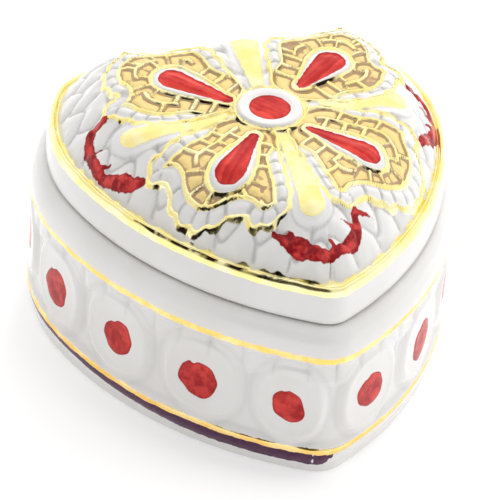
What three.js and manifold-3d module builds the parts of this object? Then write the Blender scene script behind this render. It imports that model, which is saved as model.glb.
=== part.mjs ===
// A heart-shaped porcelain trinket box: a slip-cast body and a loose domed lid.
//
// The body is a heart-shaped cup on a foot ring, with a row of soft medallions moulded round its wall
// and a mouth that turns in at the top. The lid is one casting: a pillow dome with a raised flower of
// four petals and four drops round a centre disc, a rounded edge, a flat seat and a locating flange that
// drops into the mouth. Nothing but gravity holds it on.
//
// Millimetres, +Z up. The tip of the heart points along -Y and the notch along +Y. The origin is on the
// table, under the middle of the box.

import * as THREE from "three";
import { mergeVertices } from "three/addons/utils/BufferGeometryUtils.js";
import Module from "manifold-3d";

const wasm = await Module();
wasm.setup();

// Plan of the heart. Half of it is a chain of arcs from the tip round to the notch, each arc tangent to
// the next. The chain is scaled to heartWidth, and every inset below is measured square to it in mm.
const heartWidth = 86;
const tipRadius = 8.5;
const tipSweep = 28.7;
const flankRadius = 76.6;
const flankSweep = 48.2;
const hipRadius = 40.6;
const hipSweep = 42.6;
const lobeRadius = 17.3;
const notchRadius = 22;

// Heights of the body, from the table up.
const bodyHeight = 34.1;
const footHeight = 5;
const goldLineHeight = 28.1;
const floorThickness = 4;
const footRecess = 1.2;

// Walls and insets of the body.
const wall = 3.8;
const footInset = 1;
const footRingWidth = 4.2;
const shoulderInset = 2.9;
const mouthInset = 6.4;
const mouthDepth = 2.6;
const edgeRound = 0.5;

// Lid.
const seatGap = 0.3;
const lidEdgeInset = 2.9;
const lidTaper = 0.4;
const lidSideHeight = 7.4;
const ridgeWidth = 1.5;
const ridgeRise = 0.5;
const domeRise = 12.3;
const domeFall = 0.5;
const domeBackTilt = 0.05;
const domeEdgeWidth = 13.2;
const domeBackGrowth = 0.2;
const domeNotchNarrowing = 11;
const domeNotchReach = 25;
const lidWall = 3.6;
const flangeClearance = 0.7;
const flangeWall = 2.6;
const flangeDepth = 4.5;

// Moulded ornament.
const medallionCount = 14;
const medallionRise = 0.7;
const centreShift = 3.4;
const ornamentRise = 0.6;
const discRadius = 7.4;
const frontPetal = { angle: -49, length: 24, width: 19 };
const backPetal = { angle: 35, length: 22, width: 18 };
const sideDrop = { length: 24, width: 5 };
const frontDrop = { length: 27, width: 5 };
const backDrop = { length: 20, width: 5 };

// How finely each arc of the half outline is divided, from tip to notch, and the dome and the petals.
const arcSteps = { tip: 3, flank: 12, hip: 9, lobe: 9, notch: 3 };
const domeEdgeRings = 6;
const domeCrownRings = 3;
const petalSteps = 20;

const DEG = Math.PI / 180;

/** One arc of the half outline: its centre, radius, first and last heading, and whether it turns in. */
function arcChain() {
  const build = (lobeSweep) => {
    const turns = [
      { name: "tip", radius: tipRadius, sweep: tipSweep },
      { name: "flank", radius: flankRadius, sweep: flankSweep },
      { name: "hip", radius: hipRadius, sweep: hipSweep },
      { name: "lobe", radius: lobeRadius, sweep: lobeSweep },
      { name: "notch", radius: -notchRadius, sweep: tipSweep + flankSweep + hipSweep + lobeSweep - 180 },
    ];
    const arcs = [];
    let x = 0;
    let y = 0;
    let heading = 0;
    for (const turn of turns) {
      const side = Math.sign(turn.radius);
      const cx = x - turn.radius * Math.sin(heading);
      const cy = y + turn.radius * Math.cos(heading);
      const end = heading + side * turn.sweep * DEG;
      arcs.push({ name: turn.name, cx, cy, radius: turn.radius, start: heading, end });
      x = cx + turn.radius * Math.sin(end);
      y = cy - turn.radius * Math.cos(end);
      heading = end;
    }
    return { arcs, x, y };
  };
  // The lobe turns just far enough for the notch to end on the heart's axis.
  let low = 45;
  let high = 125;
  for (let step = 0; step < 50; step += 1) {
    const middle = (low + high) / 2;
    if (build(middle).x > 0) {
      low = middle;
    } else {
      high = middle;
    }
  }
  return build((low + high) / 2).arcs;
}

/** The chain scaled to the heart's width, with its front and back extremes centred on the origin. */
function placedArcs() {
  const raw = arcChain();
  const hip = raw.find((arc) => arc.name === "hip");
  const lobe = raw.find((arc) => arc.name === "lobe");
  const scale = heartWidth / 2 / (hip.cx + hip.radius);
  const back = lobe.cy + lobe.radius;
  const middle = back / 2;
  return raw.map((arc) => ({
    ...arc,
    cx: arc.cx * scale,
    cy: (arc.cy - middle) * scale,
    radius: arc.radius * scale,
  }));
}

const ARCS = placedArcs();
const SMALLEST_TIP = 1.2;

/** Points of the right half of the heart, inset square to the outline, from the tip to the notch. */
function halfOutline(inset) {
  const arcs = ARCS.map((arc) => ({ ...arc, radius: arc.radius - inset }));
  const [tip, flank] = arcs;
  if (tip.radius < SMALLEST_TIP) {
    // Deep inside, the two flanks would cross, so a small arc on the axis joins them instead.
    const reach = flank.radius - SMALLEST_TIP;
    tip.cy = flank.cy - Math.sqrt(reach * reach - flank.cx * flank.cx);
    tip.radius = SMALLEST_TIP;
    tip.end = Math.atan2(tip.cx - flank.cx, flank.cy - tip.cy);
    flank.start = tip.end;
  }
  const points = [];
  for (const arc of arcs) {
    const steps = arcSteps[arc.name];
    for (let k = points.length === 0 ? 0 : 1; k <= steps; k += 1) {
      const heading = arc.start + ((arc.end - arc.start) * k) / steps;
      const x = arc.cx + arc.radius * Math.sin(heading);
      const y = arc.cy - arc.radius * Math.cos(heading);
      points.push(new THREE.Vector2(x, y));
    }
  }
  points[0].x = 0;
  points[points.length - 1].x = 0;
  return points;
}

/** The whole heart as a ring of points, anticlockwise seen from above, starting at the tip. */
function heartRing(inset) {
  const right = halfOutline(inset);
  const left = right.slice(1, -1).reverse().map((point) => new THREE.Vector2(-point.x, point.y));
  return [...right, ...left];
}

const STATIONS = heartRing(0).length;

/** Distance round the outline of each station, as a share of the whole way. */
function stationShares() {
  const ring = heartRing(0);
  const shares = [0];
  for (let k = 1; k <= ring.length; k += 1) {
    shares.push(shares[k - 1] + ring[k % ring.length].distanceTo(ring[k - 1]));
  }
  return shares.map((way) => way / shares[ring.length]);
}

const SHARES = stationShares();

/**
 * Closed body swept round the heart. Each ring of the profile has an inset from the outline, a height
 * (a number or a function of the place), an optional spread (1 on the inset outline, 0 at the centre)
 * and an optional swell of the wall. A lathe supplies the topology, and each of its points is then
 * laid on the heart.
 */
function heartLathe(profile) {
  const lathePoints = profile.map((ring, level) => {
    const onAxis = ring.spread === 0;
    return new THREE.Vector2(onAxis ? 0 : heartWidth / 2 - ring.inset, level);
  });
  const geometry = new THREE.LatheGeometry(lathePoints, STATIONS);
  geometry.deleteAttribute("normal");
  geometry.deleteAttribute("uv");
  const position = geometry.getAttribute("position");
  const rings = profile.map((ring) => heartRing(ring.inset));
  for (let station = 0; station <= STATIONS; station += 1) {
    for (let level = 0; level < profile.length; level += 1) {
      const ring = profile[level];
      const place = rings[level][station % STATIONS];
      const spread = ring.spread ?? 1;
      const swell = ring.swell ? ring.swell(SHARES[station]) : 0;
      const outer = swell ? heartRing(ring.inset - swell)[station % STATIONS] : place;
      const x = outer.x * spread;
      const y = centreShift + (outer.y - centreShift) * spread;
      const z = typeof ring.z === "function" ? ring.z(x, y) : ring.z;
      position.setXYZ(station * profile.length + level, x, y, z);
    }
  }
  return outward(mergeVertices(geometry, 1e-4));
}

/** The same geometry without collapsed triangles and with its faces pointing out. */
function outward(geometry) {
  const index = Array.from(geometry.getIndex().array);
  const position = geometry.getAttribute("position");
  const kept = [];
  let volume = 0;
  for (let k = 0; k < index.length; k += 3) {
    const [a, b, c] = index.slice(k, k + 3);
    if (a === b || b === c || c === a) {
      continue;
    }
    const corner = [a, b, c].map((point) => new THREE.Vector3().fromBufferAttribute(position, point));
    volume += corner[0].dot(corner[1].clone().cross(corner[2]));
    kept.push([a, b, c]);
  }
  const facing = volume > 0 ? kept : kept.map(([a, b, c]) => [a, c, b]);
  geometry.setIndex(facing.flat());
  return geometry;
}

/** Distance from a place inside the dome's edge to that edge. */
function wayFromEdge(x, y) {
  const place = new THREE.Vector2(x, y);
  const way = new THREE.Vector2();
  let nearest = Infinity;
  DOME_EDGE.forEach((start, k) => {
    const along = DOME_EDGE[(k + 1) % DOME_EDGE.length].clone().sub(start);
    const share = way.copy(place).sub(start).dot(along) / along.lengthSq();
    way.copy(start).addScaledVector(along, Math.min(Math.max(share, 0), 1));
    nearest = Math.min(nearest, way.distanceTo(place));
  });
  return nearest;
}

/** Height of the dome above the rim: rounded up from its edge, steepest at the notch, fuller behind. */
function domeHeight(x, y) {
  const behind = Math.max(y - centreShift, 0);
  const nearAxis = 0.5 + 0.5 * Math.cos(180 * DEG * Math.min(Math.abs(x) / domeNotchReach, 1));
  const nearNotch = nearAxis * Math.min(behind / domeNotchReach, 1);
  const edgeWidth = domeEdgeWidth + domeBackGrowth * behind - domeNotchNarrowing * nearNotch;
  const short = 1 - Math.min(wayFromEdge(x, y) / edgeWidth, 1);
  const far = Math.hypot(x, y - centreShift) / (heartWidth / 2);
  const crown = domeRise - domeFall * far * far + domeBackTilt * behind;
  return crown * (1 - short * short);
}

/** Rings of a dome surface from an inset up to its crown, lifted by a height above the dome. */
function domeProfile(firstInset, lift) {
  const z = (x, y) => RIM_HEIGHT + lift + domeHeight(x, y);
  const rings = [];
  for (let k = 1; k <= domeEdgeRings; k += 1) {
    rings.push({ inset: firstInset + (DEEPEST_INSET - firstInset) * (k / domeEdgeRings) ** 1.3, z });
  }
  for (let k = 1; k <= domeCrownRings; k += 1) {
    rings.push({ inset: DEEPEST_INSET, spread: 1 - k / domeCrownRings, z });
  }
  return rings;
}

/** Swell of the wall at a height: a row of round medallions with a waist between each two. */
function medallionSwell(z) {
  const low = footHeight;
  const high = goldLineHeight - 4;
  const across = Math.min(Math.max((z - low) / (high - low), 0), 1);
  const upDown = Math.sin(across * 180 * DEG);
  return (share) => {
    const along = Math.abs(Math.sin(share * medallionCount * 180 * DEG));
    return medallionRise * upDown * along;
  };
}

const RIM_HEIGHT = bodyHeight + seatGap + lidSideHeight;
const RIM_INSET = lidEdgeInset + lidTaper;
const DOME_INSET = RIM_INSET + ridgeWidth;
const DOME_EDGE = heartRing(DOME_INSET);
const DEEPEST_INSET = lobeRadius - 2;
const FOOT_OUTER = footInset + edgeRound;
const FOOT_INNER = FOOT_OUTER + footRingWidth;

function boxBody() {
  const wallRings = [];
  const wallSteps = 6;
  for (let k = 1; k < wallSteps; k += 1) {
    const z = footHeight + ((goldLineHeight - footHeight) * k) / wallSteps;
    wallRings.push({ inset: 0, z, swell: medallionSwell(z) });
  }
  const mouthFoot = bodyHeight - edgeRound - mouthDepth;
  return heartLathe([
    { inset: FOOT_INNER + 1, z: footRecess, spread: 0 },
    { inset: FOOT_INNER + 1, z: footRecess },
    { inset: FOOT_INNER, z: 0 },
    { inset: FOOT_OUTER, z: 0 },
    { inset: footInset, z: edgeRound },
    { inset: footInset - 0.1, z: footHeight * 0.5 },
    { inset: 0, z: footHeight },
    ...wallRings,
    { inset: 0, z: goldLineHeight },
    { inset: shoulderInset * 0.09, z: goldLineHeight + (bodyHeight - goldLineHeight) * 0.5 },
    { inset: shoulderInset * 0.34, z: goldLineHeight + (bodyHeight - goldLineHeight) * 0.8 },
    { inset: shoulderInset, z: bodyHeight },
    { inset: mouthInset - edgeRound, z: bodyHeight },
    { inset: mouthInset, z: bodyHeight - edgeRound },
    { inset: mouthInset, z: mouthFoot },
    { inset: wall, z: mouthFoot - (mouthInset - wall) },
    { inset: wall, z: floorThickness + 6 },
    { inset: wall + 1.5, z: floorThickness + 1.8 },
    { inset: wall + 4.5, z: floorThickness + 0.3 },
    { inset: wall + 8, z: floorThickness },
    { inset: wall + 8, z: floorThickness, spread: 0 },
  ]);
}

function lidShell() {
  const seat = bodyHeight + seatGap;
  const flangeOuter = mouthInset + flangeClearance;
  const flangeInner = flangeOuter + flangeWall;
  const flangeFoot = seat - flangeDepth;
  const hollowInset = flangeInner + 1.2;
  const hollowEdge = (x, y) => RIM_HEIGHT + domeHeight(x, y) - lidWall;
  return heartLathe([
    ...domeProfile(hollowInset, -lidWall).reverse(),
    { inset: hollowInset, z: hollowEdge },
    { inset: flangeInner, z: (x, y) => hollowEdge(x, y) - 1.5 },
    { inset: flangeInner, z: flangeFoot + edgeRound },
    { inset: flangeInner - edgeRound, z: flangeFoot },
    { inset: flangeOuter + edgeRound, z: flangeFoot },
    { inset: flangeOuter, z: flangeFoot + edgeRound },
    { inset: flangeOuter, z: seat },
    { inset: lidEdgeInset + edgeRound, z: seat },
    { inset: lidEdgeInset, z: seat + edgeRound },
    { inset: lidEdgeInset + lidTaper * 0.5, z: seat + lidSideHeight * 0.6 },
    { inset: RIM_INSET, z: RIM_HEIGHT },
    { inset: RIM_INSET + ridgeWidth * 0.3, z: RIM_HEIGHT + ridgeRise },
    { inset: RIM_INSET + ridgeWidth * 0.75, z: RIM_HEIGHT + ridgeRise },
    { inset: DOME_INSET, z: RIM_HEIGHT },
    ...domeProfile(DOME_INSET, 0),
  ]);
}

/** A skin of the dome, from half-way through its wall up to a rise above its surface. */
function domeSkin(rise) {
  const depth = -lidWall / 2;
  return heartLathe([
    ...domeProfile(DOME_INSET, depth).reverse(),
    { inset: DOME_INSET, z: RIM_HEIGHT + depth },
    { inset: DOME_INSET, z: RIM_HEIGHT + rise },
    ...domeProfile(DOME_INSET, rise),
  ]);
}

/** Outline of a petal or drop that starts at the flower's middle and is widest near its outer end. */
function petalShape(length, width) {
  const shape = new THREE.Shape();
  const start = discRadius * 0.8;
  const end = start + length;
  const narrow = width * 0.22;
  shape.moveTo(start, -narrow);
  shape.bezierCurveTo(start + length * 0.45, -width * 0.62, end, -width * 0.72, end, 0);
  shape.bezierCurveTo(end, width * 0.72, start + length * 0.45, width * 0.62, start, narrow);
  shape.closePath();
  return shape;
}

/** Upright prism of an outline, turned round the flower's middle. */
function ornamentPrism(shape, angle) {
  const geometry = new THREE.ExtrudeGeometry(shape, {
    depth: domeRise + 2 * lidWall,
    bevelEnabled: false,
    curveSegments: petalSteps,
  });
  geometry.rotateZ(angle * DEG);
  geometry.translate(0, centreShift, RIM_HEIGHT - lidWall);
  return geometry;
}

/** The closed mesh as a solid that can be cut and joined. */
function solid(geometry) {
  const bare = geometry.clone();
  bare.deleteAttribute("normal");
  bare.deleteAttribute("uv");
  const merged = mergeVertices(bare, 1e-4);
  const vertProperties = new Float32Array(merged.getAttribute("position").array);
  const triVerts = new Uint32Array(merged.getIndex().array);
  return new wasm.Manifold(new wasm.Mesh({ numProp: 3, vertProperties, triVerts }));
}

/** A solid's surface as a three.js geometry. */
function surface(body) {
  const mesh = body.getMesh();
  const geometry = new THREE.BufferGeometry();
  geometry.setAttribute("position", new THREE.BufferAttribute(new Float32Array(mesh.vertProperties), 3));
  geometry.setIndex(new THREE.BufferAttribute(new Uint32Array(mesh.triVerts), 1));
  geometry.computeVertexNormals();
  return geometry;
}

/** The lid with its flower: petals between the axes, drops on them and a disc over the middle. */
function lidWithFlower() {
  const disc = new THREE.Shape();
  disc.absarc(0, 0, discRadius, 0, 2 * Math.PI, false);
  const rays = [
    { ...frontPetal },
    { ...frontPetal, angle: 180 - frontPetal.angle },
    { ...backPetal },
    { ...backPetal, angle: 180 - backPetal.angle },
    { ...sideDrop, angle: 0 },
    { ...sideDrop, angle: 180 },
    { ...frontDrop, angle: -90 },
    { ...backDrop, angle: 90 },
  ];
  let flower = solid(ornamentPrism(disc, 0));
  for (const ray of rays) {
    flower = flower.add(solid(ornamentPrism(petalShape(ray.length, ray.width), ray.angle)));
  }
  const raised = solid(domeSkin(ornamentRise)).intersect(flower);
  return surface(solid(lidShell()).add(raised));
}

const glaze = new THREE.MeshStandardMaterial({ color: 0xefebe6, roughness: 0.15, metalness: 0 });

const trinketBox = new THREE.Group();

const body = new THREE.Mesh(boxBody(), glaze);
body.name = "box_body";
trinketBox.add(body);

const lid = new THREE.Mesh(lidWithFlower(), glaze.clone());
lid.name = "lid";
trinketBox.add(lid);

export default trinketBox;
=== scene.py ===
"""Heart-shaped porcelain trinket box: two relief castings, brush-gilded and enamelled by hand.

The box casting is a cup with fourteen soft medallions round its wall. The lid casting is a pillow dome
with a moulded flower: a button, four fans that each hold a teardrop, and four gilded drops between them.
Lengths are in millimetres while a casting is shaped, and its mesh is laid in metres.
"""

import logging
import math
from dataclasses import dataclass, field
from enum import Enum

import bpy
import numpy as np
from mathutils import Matrix, Vector


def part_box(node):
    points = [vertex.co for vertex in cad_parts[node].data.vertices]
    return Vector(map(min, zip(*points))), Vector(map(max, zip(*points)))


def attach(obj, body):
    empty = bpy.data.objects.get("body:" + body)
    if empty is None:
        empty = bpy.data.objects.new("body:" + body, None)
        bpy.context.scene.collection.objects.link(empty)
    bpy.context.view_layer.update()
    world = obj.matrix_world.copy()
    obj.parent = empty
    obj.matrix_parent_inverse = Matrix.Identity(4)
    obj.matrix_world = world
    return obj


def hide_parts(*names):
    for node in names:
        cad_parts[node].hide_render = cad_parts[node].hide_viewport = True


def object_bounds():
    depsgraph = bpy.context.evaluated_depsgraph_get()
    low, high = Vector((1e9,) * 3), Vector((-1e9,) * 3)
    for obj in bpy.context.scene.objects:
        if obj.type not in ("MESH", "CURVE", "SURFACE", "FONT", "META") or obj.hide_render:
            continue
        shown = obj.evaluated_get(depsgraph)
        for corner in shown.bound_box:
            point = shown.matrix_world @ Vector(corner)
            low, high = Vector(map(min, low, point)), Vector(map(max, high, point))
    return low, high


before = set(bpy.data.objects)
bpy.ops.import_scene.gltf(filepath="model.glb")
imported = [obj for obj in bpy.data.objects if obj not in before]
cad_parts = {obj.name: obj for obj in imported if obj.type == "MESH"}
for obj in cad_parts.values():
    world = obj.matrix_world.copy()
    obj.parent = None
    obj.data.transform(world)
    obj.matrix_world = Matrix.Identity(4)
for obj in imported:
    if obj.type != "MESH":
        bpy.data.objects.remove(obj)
CAD_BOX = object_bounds()

MM = 0.001
FAR_OFF = -5.0
LOG = logging.getLogger("trinket_box")

Array = np.ndarray
Socket = bpy.types.NodeSocket


class Paint(Enum):
    """Painted marks, each stored on a casting as a signed distance in mm, positive inside the mark."""

    GILDING = "gilding"
    ENAMEL = "enamel"
    PLUM = "plum"
    LEAF = "leaf_fill"
    # Brown seam line inside each cell's edge: partly painted brown, partly painted shade in the crease at
    # the cord's foot.
    SEAM = "cell_seam"
    STROKE = "stroke_way"
    # Painted dark reflection: near-black on the gilding where it faces the front, in place of the dark
    # stand it would mirror.
    DARK_REFLECTION = "burnt_slope"
    # Painted shade: glaze greyed in grooves, joints and round moulded pads, where shade falls.
    GROOVE_SHADE = "groove_depth"
    DEEP = "deep_red"


class Body(Enum):
    """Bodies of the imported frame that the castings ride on."""

    BOX = "box"
    LID = "lid"


class Slot(Enum):
    """Material slots of the record."""

    PORCELAIN = "porcelain"


def smooth_step(value: Array, low: float, high: float) -> Array:
    """Ease from 0 at low to 1 at high.

    Args:
        value: What is eased.
        low: Where the ease starts.
        high: Where the ease ends.

    Returns:
        The eased share, from 0 to 1.
    """
    share = np.clip((value - low) / (high - low), 0.0, 1.0)
    return share * share * (3 - 2 * share)


def round_bump(way: Array, half_width: float) -> Array:
    """Rounded ridge section, 1 on its line and 0 at its half width.

    Args:
        way: Distance from the ridge's line.
        half_width: Distance at which the ridge has run out.

    Returns:
        Height share of the ridge.
    """
    return 0.5 + 0.5 * np.cos(math.pi * np.clip(np.abs(way) / half_width, 0.0, 1.0))


def hand_wobble(x: Array, y: Array, pitch: float, seed: float) -> Array:
    """Smooth unevenness of hand work, from about -1 to 1, the same on every run.

    Args:
        x: First coordinate, in mm.
        y: Second coordinate, in mm.
        pitch: Size of the unevenness, in mm.
        seed: Which unevenness.

    Returns:
        The unevenness at each place.
    """
    total = np.zeros_like(np.asarray(x, float) + np.asarray(y, float))
    turn = 2 * math.pi / pitch
    waves = ((0.4, 0.4, 1.0), (1.7, 0.3, 1.37), (2.8, 0.3, 2.13))
    for octave, (angle, weight, stretch) in enumerate(waves):
        along = x * math.cos(angle + seed) + y * math.sin(angle + seed)
        across = y * math.cos(angle + seed) - x * math.sin(angle + seed)
        drift = 0.8 * np.sin(across * turn * stretch * 0.61 + seed * 5 + octave)
        total = total + weight * np.sin(along * turn * stretch + seed * 3.1 + octave * 2.3 + drift)
    return total


def smooth_closed_line(points: list[tuple[float, float]], steps: int = 8) -> Array:
    """Closed Catmull-Rom line through a few points.

    Args:
        points: Corners of the outline, in order.
        steps: Points laid on each span.

    Returns:
        The line's points, one row each.
    """
    corner = np.array(points, float)
    before, after, later = np.roll(corner, 1, 0), np.roll(corner, -1, 0), np.roll(corner, -2, 0)
    spans = []
    for share in np.linspace(0, 1, steps, endpoint=False):
        spans.append(
            0.5
            * (
                2 * corner
                + (after - before) * share
                + (2 * before - 5 * corner + 4 * after - later) * share**2
                + (3 * corner - before - 3 * after + later) * share**3
            )
        )
    return np.stack(spans, 1).reshape(-1, 2)


def smooth_open_line(points: list[tuple[float, ...]], steps: int = 8) -> Array:
    """Open Catmull-Rom line through a few points, each of any number of values.

    Args:
        points: Points of the line, in order.
        steps: Points laid on each span.

    Returns:
        The line's points, one row each.
    """
    corner = np.array(points, float)
    padded = np.vstack([2 * corner[0] - corner[1], corner, 2 * corner[-1] - corner[-2]])
    rows = []
    for start in range(len(corner) - 1):
        a, b, c, d = padded[start : start + 4]
        for share in np.linspace(0, 1, steps, endpoint=False):
            rows.append(
                0.5
                * (
                    2 * b
                    + (c - a) * share
                    + (2 * a - 5 * b + 4 * c - d) * share**2
                    + (3 * b - a - 3 * c + d) * share**3
                )
            )
    rows.append(corner[-1])
    return np.array(rows)


def way_to_line(x: Array, y: Array, line: Array, closed: bool) -> tuple[Array, Array, Array]:
    """Distance from places to a line, and where along the line the nearest point is.

    Args:
        x: Places' first coordinates.
        y: Places' second coordinates.
        line: Points of the line; a third column is a half width that is taken off the distance.
        closed: Whether the last point joins the first.

    Returns:
        The distances, the ways along the line, and whether each place is inside a closed line.
    """
    start = line if closed else line[:-1]
    end = np.roll(line, -1, 0) if closed else line[1:]
    step = end[:, :2] - start[:, :2]
    length = np.maximum((step**2).sum(1), 1e-12)
    gone = np.concatenate([[0.0], np.cumsum(np.sqrt(length))])[:-1]
    flat_x, flat_y = np.ravel(x), np.ravel(y)
    distance = np.empty(flat_x.size)
    along = np.empty(flat_x.size)
    inside = np.zeros(flat_x.size, bool)
    chunk = 8000
    for low in range(0, flat_x.size, chunk):
        px = flat_x[low : low + chunk, None]
        py = flat_y[low : low + chunk, None]
        dx, dy = px - start[:, 0], py - start[:, 1]
        share = np.clip((dx * step[:, 0] + dy * step[:, 1]) / length, 0.0, 1.0)
        away = np.hypot(dx - share * step[:, 0], dy - share * step[:, 1])
        if line.shape[1] > 2:
            away = away - (start[:, 2] + share * (end[:, 2] - start[:, 2]))
        nearest = away.argmin(1)
        row = np.arange(len(nearest))
        distance[low : low + chunk] = away[row, nearest]
        along[low : low + chunk] = gone[nearest] + share[row, nearest] * np.sqrt(length[nearest])
        if closed:
            crosses = (start[:, 1] > py) != (end[:, 1] > py)
            where = start[:, 0] + step[:, 0] * dy / np.where(step[:, 1] == 0, 1e-12, step[:, 1])
            inside[low : low + chunk] = (crosses & (px < where)).sum(1) % 2 == 1
    shape = np.shape(x)
    return distance.reshape(shape), along.reshape(shape), inside.reshape(shape)


@dataclass
class HeartOutline:
    """Plan of the heart: a chain of tangent arcs from the tip to the notch, mirrored.

    Lengths are in mm and sweeps in degrees. Every inset is measured square to the outline.
    """

    width: float = 86.0
    tip_radius: float = 8.5
    tip_sweep: float = 28.7
    flank_radius: float = 76.6
    flank_sweep: float = 48.2
    hip_radius: float = 40.6
    hip_sweep: float = 42.6
    lobe_radius: float = 17.3
    notch_radius: float = 22.0
    half_stations: int = 286
    smallest_tip: float = 1.2
    arcs: list[list[float]] = field(default_factory=list)
    steps: list[int] = field(default_factory=list)

    def __post_init__(self) -> None:
        """Close the chain on the heart's axis, scale it to the width and centre it."""
        low, high = 45.0, 125.0
        for _ in range(50):
            middle = (low + high) / 2
            if self._chain(middle)[1] > 0:
                low = middle
            else:
                high = middle
        raw, _ = self._chain((low + high) / 2)
        scale = self.width / 2 / (raw[2][0] + raw[2][2])
        middle_y = (raw[3][1] + raw[3][2]) / 2
        self.arcs = [[cx * scale, (cy - middle_y) * scale, r * scale, a, b] for cx, cy, r, a, b in raw]
        lengths = [abs(arc[2] * (arc[4] - arc[3])) for arc in self.arcs]
        self.steps = [max(3, round(self.half_stations * way / sum(lengths))) for way in lengths]

    def _chain(self, lobe_sweep: float) -> tuple[list[list[float]], float]:
        """Lay the arcs tangent to each other.

        Args:
            lobe_sweep: How far the lobe turns, in degrees.

        Returns:
            The arcs as centre, radius and first and last heading, and how far the end is off the axis.
        """
        notch_sweep = self.tip_sweep + self.flank_sweep + self.hip_sweep + lobe_sweep - 180
        turns = (
            (self.tip_radius, self.tip_sweep),
            (self.flank_radius, self.flank_sweep),
            (self.hip_radius, self.hip_sweep),
            (self.lobe_radius, lobe_sweep),
            (-self.notch_radius, notch_sweep),
        )
        arcs = []
        x = y = heading = 0.0
        for radius, sweep in turns:
            cx = x - radius * math.sin(heading)
            cy = y + radius * math.cos(heading)
            end = heading + math.copysign(math.radians(sweep), radius)
            arcs.append([cx, cy, radius, heading, end])
            x = cx + radius * math.sin(end)
            y = cy - radius * math.cos(end)
            heading = end
        return arcs, x

    def ring(self, inset: float) -> Array:
        """Stations of the whole heart at an inset, from the tip anticlockwise and back to the tip.

        Args:
            inset: Distance inside the outline.

        Returns:
            One row for each station, the first repeated at the end.
        """
        arcs = [[cx, cy, r - inset, a, b] for cx, cy, r, a, b in self.arcs]
        tip, flank = arcs[0], arcs[1]
        if tip[2] < self.smallest_tip:
            reach = flank[2] - self.smallest_tip
            tip[1] = flank[1] - math.sqrt(reach * reach - flank[0] * flank[0])
            tip[2] = self.smallest_tip
            tip[4] = math.atan2(tip[0] - flank[0], flank[1] - tip[1])
            flank[3] = tip[4]
        half = [np.array([[0.0, tip[1] - tip[2]]])]
        for (cx, cy, radius, start, end), steps in zip(arcs, self.steps):
            heading = np.linspace(start, end, steps + 1)[1:]
            half.append(np.stack([cx + radius * np.sin(heading), cy - radius * np.cos(heading)], 1))
        right = np.vstack(half)
        right[-1, 0] = 0.0
        left = right[-2::-1] * (-1, 1)
        return np.vstack([right, left])

    def shares(self) -> Array:
        """Way round the outline of each station, as a share of the whole way."""
        ring = self.ring(0.0)
        way = np.concatenate([[0.0], np.cumsum(np.hypot(*np.diff(ring, axis=0).T))])
        return way / way[-1]

    def length(self) -> float:
        """Length of the whole outline in mm."""
        return float(np.hypot(*np.diff(self.ring(0.0), axis=0).T).sum())


@dataclass
class Teardrop:
    """Teardrop in plan, narrow at its inner end and round at its outer end, in mm."""

    start: tuple[float, float]
    end: tuple[float, float]
    start_radius: float
    end_radius: float
    bend: float = 0.0

    def measure(self, x: Array, y: Array) -> tuple[Array, Array, Array, Array]:
        """Signed distance to the drop, and where a place lies round it.

        Args:
            x: Places' first coordinates.
            y: Places' second coordinates.

        Returns:
            The distance outside the drop, the way along its flank, the angle round its outer end, and
            the place across its axis.
        """
        axis = np.subtract(self.end, self.start)
        length = float(np.hypot(*axis))
        ux, uy = axis / length
        dx, dy = x - self.start[0], y - self.start[1]
        along = dx * ux + dy * uy
        across = dy * ux - dx * uy
        across = across - self.bend * ((along / length - 0.5) ** 2 - 0.25) * 4
        slope = (self.start_radius - self.end_radius) / length
        lean = math.sqrt(1 - slope * slope)
        side = np.abs(across)
        reach = -slope * side + lean * along
        near_start = np.hypot(side, along) - self.start_radius
        near_end = np.hypot(side, along - length) - self.end_radius
        near_flank = side * lean + slope * along - self.start_radius
        distance = np.where(reach < 0, near_start, np.where(reach > lean * length, near_end, near_flank))
        angle = np.arctan2(along - length, side) - math.asin(-slope)
        return distance, np.clip(reach, 0, lean * length), np.maximum(angle, 0), across


@dataclass
class Relief:
    """Heights and painted marks gathered over a casting's places, in mm."""

    height: Array
    marks: dict[Paint, Array]

    @classmethod
    def plain(cls, like: Array) -> "Relief":
        """Bare casting: no height, and every mark far away."""
        marks = {paint: np.full(like.shape, FAR_OFF) for paint in Paint}
        marks[Paint.STROKE] = np.zeros(like.shape)
        return cls(np.zeros(like.shape), marks)

    def add(self, paint: Paint, distance: Array) -> None:
        """Join a mark to those already there."""
        self.marks[paint] = np.maximum(self.marks[paint], distance)

    def keep_off(self, paint: Paint, distance: Array) -> None:
        """Take a shape, given as a distance inside it, out of a mark."""
        self.marks[paint] = np.minimum(self.marks[paint], -distance)


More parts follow.
